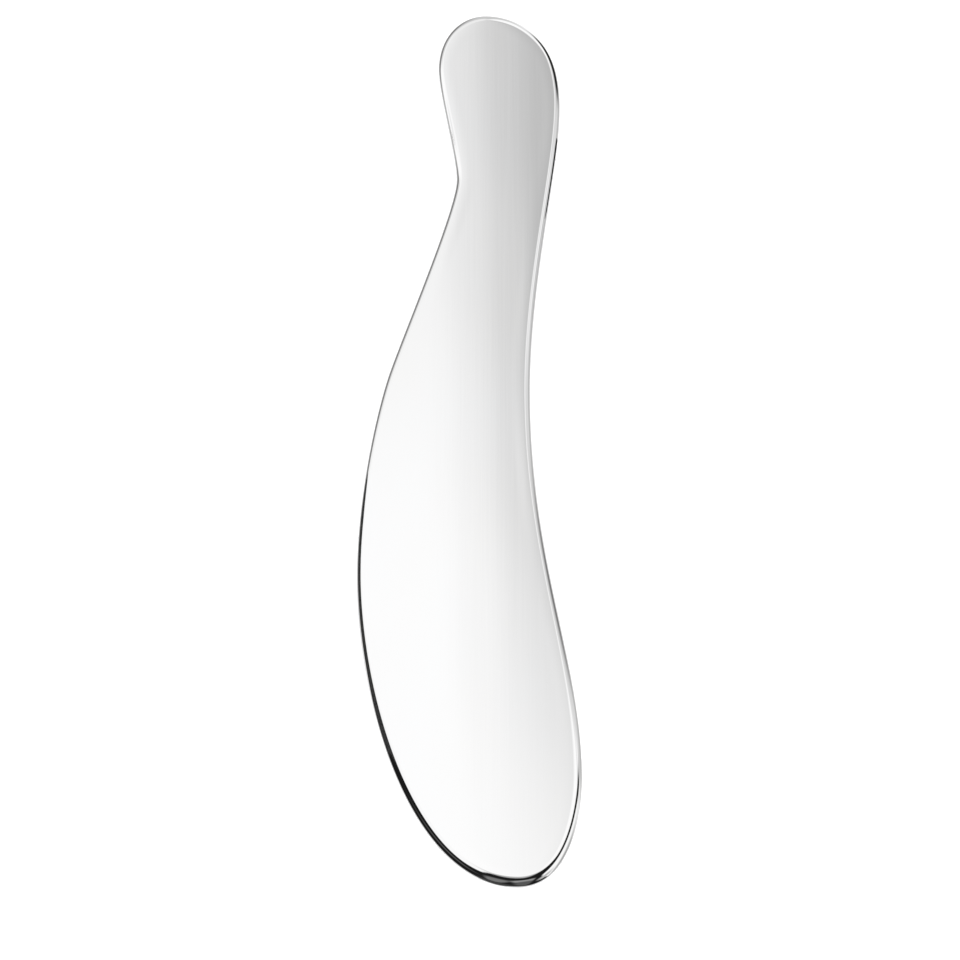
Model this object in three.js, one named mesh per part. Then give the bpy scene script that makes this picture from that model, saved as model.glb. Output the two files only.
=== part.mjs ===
// Gua sha scraper: one solid piece of mirror-polished stainless steel plate.
// Millimetres, +Z up. The scraper lies flat on z = 0 with its length along Y, the small head at +Y and
// the broad blade at -Y. The origin is under the middle of its length and width, on the face it lies on.
// There is no handle, screw or insert: grip, head and blade are all the same plate.

import * as THREE from "three";

const LENGTH = 175; // crown of the head to tip of the blade
const WIDTH = 41.8; // across the whole outline, as it lies
const THICKNESS = 3;

const SIDE_ROUND = 1.1; // how far the rounded edge reaches in from the rim along the sides
const CROWN_ROUND = 1.7; // the same at the crown of the head, where the tool presses on a point
const CROWN_ZONE = 10; // length of the head over which the rounding widens towards the crown
const TIP_ROUND = 1.8; // and at the tip of the blade
const TIP_ZONE = 65; // length of the blade over which the rounding widens towards the tip

const STEPS_PER_STRETCH = 26; // outline points from one knot to the next
const STEPS_ROUND_EDGE = 12; // facets round the edge from the upper face to the lower one

const HALF_LENGTH = LENGTH / 2;
const HALF_WIDTH = WIDTH / 2;

// Headings, in degrees anticlockwise from +X
const RIGHT = 0;
const UP = 90;
const LEFT = 180;
const DOWN = -90;
const UP_THE_SHOULDER = 73;

// The outline from above, clockwise from the crown. A knot stands wherever the outline runs exactly along
// X or Y, and on the shoulder, where the belly's curve straightens towards the neck. before and after are how
// far the curve keeps to that heading on each side of the knot.
const KNOTS = [
  { place: "crown of the head", x: 3.3, y: HALF_LENGTH, heading: RIGHT, before: 5, after: 5 },
  { place: "head, right", x: 17.8, y: 68.3, heading: DOWN, before: 16, after: 13.5 },
  { place: "waist of the concave edge", x: 11.7, y: 7.9, heading: DOWN, before: 23.5, after: 33.3 },
  { place: "blade, right", x: HALF_WIDTH, y: -66.6, heading: DOWN, before: 22, after: 5.1 },
  { place: "tip of the blade", x: 9, y: -HALF_LENGTH, heading: LEFT, before: 10.5, after: 19.9 },
  { place: "belly of the convex edge", x: -HALF_WIDTH, y: -27.5, heading: UP, before: 24, after: 15 },
  { place: "shoulder", x: -15.3, y: 11.7, heading: UP_THE_SHOULDER, before: 8, after: 8 },
  { place: "neck", x: -2.4, y: 52.4, heading: UP, before: 6, after: 5 },
  { place: "head, left", x: -6, y: 76, heading: UP, before: 5, after: 7 },
];

// A step of a given length along a heading.
function step(heading, length) {
  const angle = THREE.MathUtils.degToRad(heading);
  return new THREE.Vector2(Math.cos(angle), Math.sin(angle)).multiplyScalar(length);
}

// One smooth stretch of the outline between two neighbouring knots.
function stretch(knot, next) {
  const start = new THREE.Vector2(knot.x, knot.y);
  const end = new THREE.Vector2(next.x, next.y);
  return new THREE.CubicBezierCurve(
    start,
    start.clone().add(step(knot.heading, knot.after)),
    end.clone().add(step(next.heading, -next.before)),
    end,
  );
}

// How far the rounded edge reaches in from the rim at a given place along the length.
function roundingAt(y) {
  const nearCrown = THREE.MathUtils.smoothstep(y, HALF_LENGTH - CROWN_ZONE, HALF_LENGTH);
  const nearTip = THREE.MathUtils.smoothstep(-y, HALF_LENGTH - TIP_ZONE, HALF_LENGTH);
  return SIDE_ROUND + nearCrown * (CROWN_ROUND - SIDE_ROUND) + nearTip * (TIP_ROUND - SIDE_ROUND);
}

// The rim all the way round: a point, the direction in from it, and the width of the rounding there.
function rimStations() {
  return KNOTS.flatMap((knot, i) => {
    const curve = stretch(knot, KNOTS[(i + 1) % KNOTS.length]);
    return Array.from({ length: STEPS_PER_STRETCH }, (_, k) => {
      const at = curve.getPoint(k / STEPS_PER_STRETCH);
      const along = curve.getTangent(k / STEPS_PER_STRETCH);
      return { at, inward: new THREE.Vector2(along.y, -along.x), rounding: roundingAt(at.y) };
    });
  });
}

// One closed ring of points round the edge. share runs from 0 at the upper face to 1 at the lower face, and
// the edge between them is half an ellipse that meets both faces smoothly.
function edgeRing(stations, share) {
  const angle = share * Math.PI;
  const height = (THICKNESS / 2) * (1 + Math.cos(angle));
  return stations.map(({ at, inward, rounding }) => {
    const point = at.clone().addScaledVector(inward, rounding * (1 - Math.sin(angle)));
    return new THREE.Vector3(point.x, point.y, height);
  });
}

// The closed plate: rings round the edge joined into a band, and a flat face across each end of the band.
function plateGeometry() {
  const stations = rimStations();
  const count = stations.length;
  const rings = Array.from({ length: STEPS_ROUND_EDGE + 1 }, (_, k) => {
    return edgeRing(stations, k / STEPS_ROUND_EDGE);
  });
  const faces = [];

  for (let k = 0; k < STEPS_ROUND_EDGE; k++) {
    for (let i = 0; i < count; i++) {
      const upper = k * count + i;
      const lower = upper + count;
      const upperNext = k * count + ((i + 1) % count);
      const lowerNext = upperNext + count;
      faces.push(upper, upperNext, lowerNext, upper, lowerNext, lower);
    }
  }

  const lowerFace = STEPS_ROUND_EDGE * count;
  for (const [a, b, c] of THREE.ShapeUtils.triangulateShape(rings[0], [])) {
    faces.push(a, b, c);
    faces.push(lowerFace + a, lowerFace + c, lowerFace + b);
  }

  const geometry = new THREE.BufferGeometry().setFromPoints(rings.flat());
  geometry.setIndex(faces);
  geometry.computeVertexNormals();
  return geometry;
}

const polishedSteel = new THREE.MeshStandardMaterial({ color: 0xd6d7d8, roughness: 0.06, metalness: 1 });

const scraperBody = new THREE.Mesh(plateGeometry(), polishedSteel);
scraperBody.name = "scraper_body";

const scraper = new THREE.Group();
scraper.add(scraperBody);

export default scraper;
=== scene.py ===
# Looks for the gua sha scraper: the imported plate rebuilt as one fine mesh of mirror-polished steel, lying on a
# pale floor in a soft studio. Metres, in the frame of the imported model: +Y towards the small head, +Z up.

import math

import bpy
import numpy as np
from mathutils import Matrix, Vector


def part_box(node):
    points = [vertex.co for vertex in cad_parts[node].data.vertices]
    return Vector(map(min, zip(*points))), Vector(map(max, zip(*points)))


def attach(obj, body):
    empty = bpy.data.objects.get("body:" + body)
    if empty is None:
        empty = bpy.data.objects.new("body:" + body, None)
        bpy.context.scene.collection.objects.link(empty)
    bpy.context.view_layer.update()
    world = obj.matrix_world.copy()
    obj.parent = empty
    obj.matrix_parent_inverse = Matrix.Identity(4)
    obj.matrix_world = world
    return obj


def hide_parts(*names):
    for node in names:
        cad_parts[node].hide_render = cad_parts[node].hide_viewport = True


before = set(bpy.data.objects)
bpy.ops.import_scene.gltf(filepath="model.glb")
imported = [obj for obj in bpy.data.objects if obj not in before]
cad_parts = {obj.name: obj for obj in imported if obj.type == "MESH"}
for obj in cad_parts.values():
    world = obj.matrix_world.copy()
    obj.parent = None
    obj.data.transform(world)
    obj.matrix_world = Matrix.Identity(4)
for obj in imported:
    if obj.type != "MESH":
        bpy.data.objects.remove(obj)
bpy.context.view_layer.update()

MM = 0.001
UM = 0.000001
TOUCH = 0.01 * MM  # heights closer than this are the same height

# The plate
STATIONS_PER_SIDE = 380  # places along each long side, from the crown of the head to the tip of the blade
COLUMNS_ACROSS = 30  # cells of the face from one long side to the other
EDGE_STEPS = 56  # steps of the rounded edge, from the upper face to the lower one
HEADING_STEP = 0.05 * MM  # how far to each side of a place on the rim its heading is taken over
ROLL_OFF_REACH = 2.6 * MM  # how far in from the edge the polishing wheel has eased the face down
ROLL_OFF_DEPTH = 6 * UM
ROLL_OFF_SHARES = (0, 0.02, 0.05, 0.1, 0.18, 0.28, 0.4, 0.54, 0.7, 0.85, 1.0)  # rings across that reach
WAVES = (  # what polishing leaves on the face: length across, length along, depth, and phase of each wave
    (7.3 * MM, 310 * MM, 0.7 * UM, 0.4),
    (11.9 * MM, 190 * MM, 1.5 * UM, 2.1),
    (19.7 * MM, 83 * MM, 2.4 * UM, 4.4),
    (43.0 * MM, 37 * MM, 2.6 * UM, 1.3),
)

# The polished surface
STEEL_CLEAR = (0.805, 0.81, 0.817)
STEEL_HAZY = (0.796, 0.79, 0.784)  # a little darker and warmer
STEEL_BRIGHTNESS = 0.80
STEEL_ROUGHNESS = 0.035
HAZE_SIZE = 15 * MM  # patches a little less clear than the rest, in colour and in gloss
HAZE_DETAIL = 4.0
HAZE_OF_ROUGHNESS = 0.02
STREAKS = (  # marks left along the length by the wheel: width, length, and real height
    (2.4 * MM, 70 * MM, 0.8 * UM),
    (0.9 * MM, 45 * MM, 0.3 * UM),
    (0.45 * MM, 24 * MM, 0.2 * UM),
)
HAIRLINE_WIDTH = 0.16 * MM
HAIRLINE_LENGTH = 11 * MM
HAIRLINE_OF_ROUGHNESS = 0.02
NOISE_ROUGHNESS = 0.55

# The studio, as the steel mirrors it. A direction is its angle from straight up, in degrees, split into a
# share towards +X and a share towards +Y: (0, 0) is straight up, and (90, 0) is level, along +X. Brightness is
# how bright the steel shows it. Each panel is laid over the ones before it.
WALLS = 0.98
WALL_PANELS = (  # name, centre, half size, turn, softness of the rim, squareness, brightness
    ("grey wall back", (-8, 78), (36, 28), 0, 0.5, 2.5, 0.58),
    ("dark wall left", (-76, 64), (60, 23), 29, 0.4, 2.5, 0.20),
    ("grey wall left", (-46, 46), (16, 14), 45, 0.6, 2, 0.65),
    ("grey wall far right", (105, 40), (35, 22), 0, 0.5, 2.5, 0.45),
    ("grey wall right", (45, 28), (42, 8), 5, 0.5, 3, 0.68),
    ("dark wall back right", (64, 60), (32, 25), 20, 0.25, 3, 0.02),
    ("black front", (-20, -66), (125, 82), 0, 0.05, 6, 0.01),
    ("softbox left", (-22, 4), (20, 27), 15, 0.12, 3.5, 0.95),
    ("softbox right", (22, 8), (34, 11), -3, 0.12, 2.5, 0.98),
    ("softbox overhead", (0, 30), (16, 18), 0, 0.05, 4, 0.98),
    ("black arm", (50, 3), (30, 7.5), 30, 0.4, 2.5, 0.01),
    ("gap between softboxes", (0, -38), (24, 41), 0, 0.05, 1.1, 0.01),
    ("glow overhead", (1, -3), (7, 7), 0, 0.7, 2, 0.45),
    ("lens left", (-20, -59), (10, 23), -25, 0.35, 2.5, 0.18),
    ("lens right", (10, -48), (14, 15), 0, 0.25, 2.5, 0.32),
    ("lens low", (12, -78), (15, 32), 0, 0.35, 2.5, 0.09),
    ("lens far left", (-56, -39), (24, 7), -44, 0.5, 2, 0.08),
    ("window right", (82, -32), (47, 44), 4, 0.08, 1.4, 0.95),
    ("grey stand", (56, -57), (17, 14), 45, 0.6, 2, 0.50),
    ("grey beyond the window", (115, -40), (30, 42), 0, 0.5, 2.5, 0.35),
)
TABLE = 0.75  # what the steel mirrors below the level
TABLE_BEGINS = (118, 140)
NEAR_PANELS = (  # laid over the walls and the table, in the same terms
    ("shade on the table", (-38, -112), (34, 30), 0, 0.35, 2, 0.05),
    ("ceiling", (-4, 37), (14, 15), 0, 0.35, 2.5, 0.84),
    ("overhead shade", (4.2, 37.6), (4.1, 22.5), 0, 0.30, 4, 0.47),
    ("white wall back", (9, 49), (8, 17), -15, 0.3, 2, 0.97),
    ("wall beside the shade", (7.4, 22), (5.2, 10), 0, 0.12, 4, 0.88),
)
ROOM_LIGHT = 2.3  # of the even white light that falls on the floor

BLACK_CARDS = (  # close to the plate, for the steel to mirror: name, lowest and highest corner
    ("card_far_left", (-301 * MM, -90 * MM, -120 * MM), (-299 * MM, 132 * MM, 255 * MM)),
    ("card_beside_neck", (18.8 * MM, 46.5 * MM, 0), (25 * MM, 61.5 * MM, 1.85 * MM)),
)
CARD_COLOR = (0.02, 0.02, 0.02)

FLOOR_COLOR = (0.93, 0.93, 0.93)
FLOOR_HALF = 60.0
FLOOR_GAP = 0.02 * MM

# The view: close to straight down, leaning towards the tip of the blade
CAMERA_LEAN = math.radians(19)
CAMERA_DISTANCE = 0.679
CAMERA_LENS = 135
CAMERA_NEAR = 0.01  # nearest thing it sees
AIM_FROM_CENTRE = (2.15 * MM, -9.26 * MM)


# ---------------------------------------------------------------- shape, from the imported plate


def ring_at(mesh, height):
    """The plate's closed ring of points at a height, in order, clockwise from the crown as seen from above."""
    neighbours = {}
    for edge in mesh.edges:
        ends = [mesh.vertices[i].co for i in edge.vertices]
        if all(abs(end.z - height) < TOUCH for end in ends):
            a, b = ((round(end.x, 7), round(end.y, 7)) for end in ends)
            neighbours.setdefault(a, set()).add(b)
            neighbours.setdefault(b, set()).add(a)
    crown = max(neighbours, key=lambda point: point[1])
    ring = [crown, max(neighbours[crown])]
    while len(ring) < len(neighbours):
        ring.append(next(point for point in neighbours[ring[-1]] if point != ring[-2]))
    return np.array(ring)


def points_at(mesh, height):
    """The places in plan of all the plate's points at a height."""
    return np.array([v.co[:2] for v in mesh.vertices if abs(v.co.z - height) < TOUCH])


def closed_spline(values):
    """A smooth closed curve through rows of values. Returns a function of the distance travelled, and the
    distance at each row, by a periodic cubic spline whose first two columns are the plan position."""
    steps = np.linalg.norm(np.roll(values[:, :2], -1, 0) - values[:, :2], axis=1)
    at = np.concatenate([[0], np.cumsum(steps)])
    count = len(values)
    before = np.roll(steps, 1)
    system = np.zeros((count, count))
    rows = np.arange(count)
    system[rows, rows] = 2 * (before + steps)
    system[rows, (rows - 1) % count] = before
    system[rows, (rows + 1) % count] = steps
    slopes = (np.roll(values, -1, 0) - values) / steps[:, None]
    bend = np.linalg.solve(system, 6 * (slopes - np.roll(slopes, 1, 0)))

    def curve(travelled):
        travelled = np.mod(travelled, at[-1])
        i = np.clip(np.searchsorted(at, travelled, side="right") - 1, 0, count - 1)
        j = (i + 1) % count
        width = steps[i][:, None]
        t = (travelled - at[i])[:, None]
        left = width - t
        return (
            (bend[i] * left**3 + bend[j] * t**3) / (6 * width)
            + (values[i] / width - bend[i] * width / 6) * left
            + (values[j] / width - bend[j] * width / 6) * t
        )

    return curve, at


def rim_stations(mesh, low, high):
    """Even places along each side of the rim: the point, the unit direction in from it, and how far the
    rounded edge reaches in. The first is the crown of the head, and the one half-way round is the tip of the
    blade."""
    rim = ring_at(mesh, (low.z + high.z) / 2)
    face = points_at(mesh, high.z)
    reach = np.array([np.linalg.norm(face - point, axis=1).min() for point in rim])
    curve, at = closed_spline(np.column_stack([rim, reach]))
    tip = at[rim[:, 1].argmin()]
    travelled = np.concatenate(
        [
            np.linspace(0, tip, STATIONS_PER_SIDE, endpoint=False),
            np.linspace(tip, at[-1], STATIONS_PER_SIDE, endpoint=False),
        ]
    )
    here = curve(travelled)
    along = curve(travelled + HEADING_STEP)[:, :2] - curve(travelled - HEADING_STEP)[:, :2]
    along /= np.linalg.norm(along, axis=1)[:, None]
    inward = np.column_stack([along[:, 1], -along[:, 0]])
    return here[:, :2], inward, here[:, 2]


def smoothstep(share):
    share = np.clip(share, 0, 1)
    return share * share * (3 - 2 * share)


def wear_of_polishing(plan, from_edge):
    """How far the face lies below a true plane: eased down at the edge, and very slightly wavy in between."""
    ease = (1 - np.clip(from_edge / ROLL_OFF_REACH, 0, 1)) ** 2 * ROLL_OFF_DEPTH
    waves = np.zeros(len(plan))
    for across, along, depth, phase in WAVES:
        turn = 2 * math.pi * (plan[:, 0] / across + plan[:, 1] / along) + phase
        waves += depth * (1 + np.sin(turn)) / 2
    return ease + waves * smoothstep(from_edge / ROLL_OFF_REACH)


def half_section(half_thickness):
    """The rings from the face down to the rim, as (share of the edge's reach, further in, height above the
    middle): first the rings across the border of the face, before it is eased down, then the quarter ellipse
    of the edge, which carries on from the eased border."""
    border = [(1.0, share * ROLL_OFF_REACH, half_thickness) for share in reversed(ROLL_OFF_SHARES)]
    quarter = []
    for step in range(1, EDGE_STEPS // 2 + 1):
        angle = math.pi / 2 * step / (EDGE_STEPS // 2)
        quarter.append((1 - math.sin(angle), 0.0, (half_thickness - ROLL_OFF_DEPTH) * math.cos(angle)))
    return border + quarter


def plate_mesh(name, mesh, low, high):
    """The whole plate: rings round the edge from face to face, and a grid of cells across each face."""
    rim, inward, reach = rim_stations(mesh, low, high)
    middle = (low.z + high.z) / 2
    half_thickness = (high.z - low.z) / 2
    count = len(rim)
    upper = half_section(half_thickness)
    section = upper + [(share, more, -height) for share, more, height in reversed(upper[:-1])]

    rings = []
    for share, more, height in section:
        plan = rim + inward * (share * reach + more)[:, None]
        sunk = wear_of_polishing(plan, np.full(count, more)) * (share == 1.0)
        rings.append(np.column_stack([plan, middle + height - math.copysign(1, height) * sunk]))
    points = list(np.concatenate(rings))
    faces = []
    for k in range(len(rings) - 1):
        for i in range(count):
            j = (i + 1) % count
            faces.append((k * count + i, k * count + j, (k + 1) * count + j, (k + 1) * count + i))

    for side, ring in ((1, 0), (-1, len(rings) - 1)):
        add_face_grid(points, faces, ring * count, count, middle, half_thickness, side)

    made = bpy.data.meshes.new(name)
    made.from_pydata([tuple(point) for point in points], [], faces)
    made.validate()
    made.shade_smooth()
    return made


def add_face_grid(points, faces, first, count, middle, half_thickness, side):
    """The cells of one face. Each row runs from a place on the long side at +X to its opposite number at -X,
    and the first and the last row are the single points at the crown and at the tip."""
    ring = np.array(points[first : first + count])
    rows = [[first] * (COLUMNS_ACROSS + 1)]
    for i in range(1, count // 2):
        right, left = ring[i], ring[count - i]
        shares = np.arange(1, COLUMNS_ACROSS) / COLUMNS_ACROSS
        plan = right[:2] + (left[:2] - right[:2]) * shares[:, None]
        sunk = wear_of_polishing(plan, np.full(len(plan), ROLL_OFF_REACH))
        start = len(points)
        points.extend(np.column_stack([plan, middle + side * (half_thickness - sunk)]))
        rows.append([first + i, *range(start, start + len(plan)), first + count - i])
    rows.append([first + count // 2] * (COLUMNS_ACROSS + 1))

    for a, b in zip(rows, rows[1:]):
        for c in range(COLUMNS_ACROSS):
            corners = tuple(dict.fromkeys((b[c], a[c], a[c + 1], b[c + 1])))
            faces.append(corners[::side])


def make_plate():
    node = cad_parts["scraper_body"]
    low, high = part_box("scraper_body")
    plate = bpy.data.objects.new("scraper_plate", plate_mesh("scraper_plate", node.data, low, high))
    bpy.context.scene.collection.objects.link(plate)
    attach(plate, "root")
    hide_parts("scraper_body")
    return plate


# ---------------------------------------------------------------- shaders


def add(tree, kind, inputs=None, **settings):
    """A new node. inputs gives, by name or number, a value or another node's output."""
    node = tree.nodes.new("ShaderNode" + kind)
    for name, value in settings.items():
        setattr(node, name, value)
    for socket, value in (inputs or {}).items():
        if isinstance(value, bpy.types.NodeSocket):
            tree.links.new(value, node.inputs[socket])
        else:
            node.inputs[socket].default_value = value
    return node


def maths(tree, operation, *values):
    return add(tree, "Math", dict(enumerate(values)), operation=operation).outputs[0]


def blend(tree, share, low, high):
    """low where share is 0, and high where it is 1."""
    return maths(tree, "MULTIPLY_ADD", share, maths(tree, "SUBTRACT", high, low), low)


def fade(tree, value, begins, ends):
    """A smooth change from 0 to 1 as value goes from begins to ends."""
    inputs = {"Value": value, "From Min": begins, "From Max": ends}
    return add(tree, "MapRange", inputs, interpolation_type="SMOOTHSTEP").outputs[0]


def empty_tree(owner):
    owner.use_nodes = True
    owner.node_tree.nodes.clear()
    return owner.node_tree


# ---------------------------------------------------------------- material of the plate


def stretched_noise(tree, width, length, detail=2.0):
    """Noise from 0 to 1 in marks of a width across the plate and a length along it."""
    place = add(tree, "TexCoord").outputs["Object"]
    scale = (1 / width, 1 / length, 1 / width)
    place = add(tree, "Mapping", {"Vector": place, "Scale": scale}).outputs[0]
    inputs = {"Vector": place, "Scale": 1.0, "Detail": detail, "Roughness": NOISE_ROUGHNESS}
    return add(tree, "TexNoise", inputs).outputs["Fac"]


def polished_steel():
    material = bpy.data.materials.new("polished_steel")
    tree = empty_tree(material)
    haze = stretched_noise(tree, HAZE_SIZE, HAZE_SIZE * 2, detail=HAZE_DETAIL)
    hairlines = stretched_noise(tree, HAIRLINE_WIDTH, HAIRLINE_LENGTH)

    colors = {"Factor": haze, 6: (*STEEL_CLEAR, 1), 7: (*STEEL_HAZY, 1)}
    color = add(tree, "Mix", colors, data_type="RGBA").outputs[2]

    roughness = maths(tree, "MULTIPLY_ADD", haze, HAZE_OF_ROUGHNESS, STEEL_ROUGHNESS - HAZE_OF_ROUGHNESS / 2)
    lined = maths(tree, "MULTIPLY_ADD", hairlines, HAIRLINE_OF_ROUGHNESS, -HAIRLINE_OF_ROUGHNESS / 2)
    roughness = maths(tree, "ADD", roughness, lined)

    height = 0.0
    for width, length, depth in STREAKS:
        height = maths(tree, "MULTIPLY_ADD", stretched_noise(tree, width, length), depth / UM, height)
    normal = add(tree, "Bump", {"Strength": 1.0, "Distance": UM, "Height": height}).outputs[0]

    inputs = {"Base Color": color, "Metallic": 1.0, "Roughness": roughness, "Normal": normal}
    steel = add(tree, "BsdfPrincipled", inputs)
    add(tree, "OutputMaterial", {"Surface": steel.outputs[0]})
    return material


# ---------------------------------------------------------------- studio


def direction_looked_in(tree):
    """The angle from straight up, and its shares towards +X and +Y, in degrees."""
    direction = add(tree, "TexCoord").outputs["Generated"]
    up = add(tree, "SeparateXYZ", {0: direction}).outputs["Z"]
    from_up = maths(tree, "DEGREES", maths(tree, "ARCCOSINE", up))
    level = add(tree, "VectorMath", {0: direction, 1: (1, 1, 0)}, operation="MULTIPLY").outputs[0]
    heading = add(tree, "VectorMath", {0: level}, operation="NORMALIZE").outputs[0]
    return from_up, add(tree, "VectorMath", {0: heading, "Scale": from_up}, operation="SCALE").outputs[0]


def lay_panel(tree, place, behind, centre, half, turn, softness, squareness, brightness):
    """A soft-rimmed panel over what is behind it. Squareness is 2 for an ellipse, and more for a rounded
    box."""
    inputs = {
        "Vector": place,
        "Location": (*centre, 0),
        "Rotation": (0, 0, math.radians(turn)),
        "Scale": (*half, 1),
    }
    local = add(tree, "Mapping", inputs, vector_type="TEXTURE").outputs[0]
    across = add(tree, "VectorMath", {0: local}, operation="ABSOLUTE").outputs[0]
    x, y, _ = add(tree, "SeparateXYZ", {0: across}).outputs
    powers = [maths(tree, "POWER", share, squareness) for share in (x, y)]
    reach = maths(tree, "POWER", maths(tree, "ADD", *powers), 1 / squareness)
    cover = fade(tree, reach, 1 + softness, 1 - softness)
    return blend(tree, cover, behind, brightness)


def make_studio():
    """Even white light on the floor, and for the steel a white room with grey and black panels to mirror."""
    world = bpy.data.worlds.new("studio")
    world.cycles.sampling_method = "NONE"
    bpy.context.scene.world = world
    tree = empty_tree(world)
    from_up, place = direction_looked_in(tree)
    room = WALLS
    for _, *panel in WALL_PANELS:
        room = lay_panel(tree, place, room, *panel)
    room = blend(tree, fade(tree, from_up, *TABLE_BEGINS), room, TABLE)
    for _, *panel in NEAR_PANELS:
        room = lay_panel(tree, place, room, *panel)
    mirrored = maths(tree, "DIVIDE", room, STEEL_BRIGHTNESS)
    strength = blend(tree, add(tree, "LightPath").outputs["Is Glossy Ray"], ROOM_LIGHT, mirrored)
    light = add(tree, "Background", {"Color": (1, 1, 1, 1), "Strength": strength})
    add(tree, "OutputWorld", {"Surface": light.outputs[0]})


def matt(name, color):
    material = bpy.data.materials.new(name)
    tree = empty_tree(material)
    paint = add(tree, "BsdfDiffuse", {"Color": (*color, 1)})
    add(tree, "OutputMaterial", {"Surface": paint.outputs[0]})
    return material


def stage_piece(name, points, faces, material):
    mesh = bpy.data.meshes.new(name)
    mesh.from_pydata(points, [], faces)
    mesh.materials.append(material)
    piece = bpy.data.objects.new(name, mesh)
    bpy.context.scene.collection.objects.link(piece)
    return piece


def make_floor(low):
    signs = ((-1, -1), (1, -1), (1, 1), (-1, 1))
    points = [(x * FLOOR_HALF, y * FLOOR_HALF, low.z - FLOOR_GAP) for x, y in signs]
    floor = stage_piece("floor", points, [(0, 1, 2, 3)], matt("pale_floor", FLOOR_COLOR))
    floor.visible_glossy = False


def make_black_cards():
    """Cards that only the steel sees: they are out of the picture, and throw no shade on the floor."""
    material = matt("black_card", CARD_COLOR)
    sides = ((0, 1, 3, 2), (4, 6, 7, 5), (0, 4, 5, 1), (2, 3, 7, 6), (0, 2, 6, 4), (1, 5, 7, 3))
    for name, low, high in BLACK_CARDS:
        points = [(x, y, z) for x in (low[0], high[0]) for y in (low[1], high[1]) for z in (low[2], high[2])]
        card = stage_piece(name, points, sides, material)
        card.visible_camera = False
        card.visible_diffuse = False
        card.visible_shadow = False


# ---------------------------------------------------------------- view


def make_camera(low, high):
    camera = bpy.data.objects.new("camera", bpy.data.cameras.new("camera"))
    camera.data.lens = CAMERA_LENS
    camera.data.clip_start = CAMERA_NEAR
    centre = (low + high) / 2
    camera.location = (
        centre.x + AIM_FROM_CENTRE[0],
        centre.y + AIM_FROM_CENTRE[1] - CAMERA_DISTANCE * math.sin(CAMERA_LEAN),
        centre.z + CAMERA_DISTANCE * math.cos(CAMERA_LEAN),
    )
    camera.rotation_euler = (CAMERA_LEAN, 0, 0)
    bpy.context.scene.collection.objects.link(camera)
    bpy.context.scene.camera = camera


plate_low, plate_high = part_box("scraper_body")
make_plate().data.materials.append(polished_steel())
make_studio()
make_floor(plate_low)
make_black_cards()
make_camera(plate_low, plate_high)
bpy.context.scene.view_settings.view_transform = "Standard"
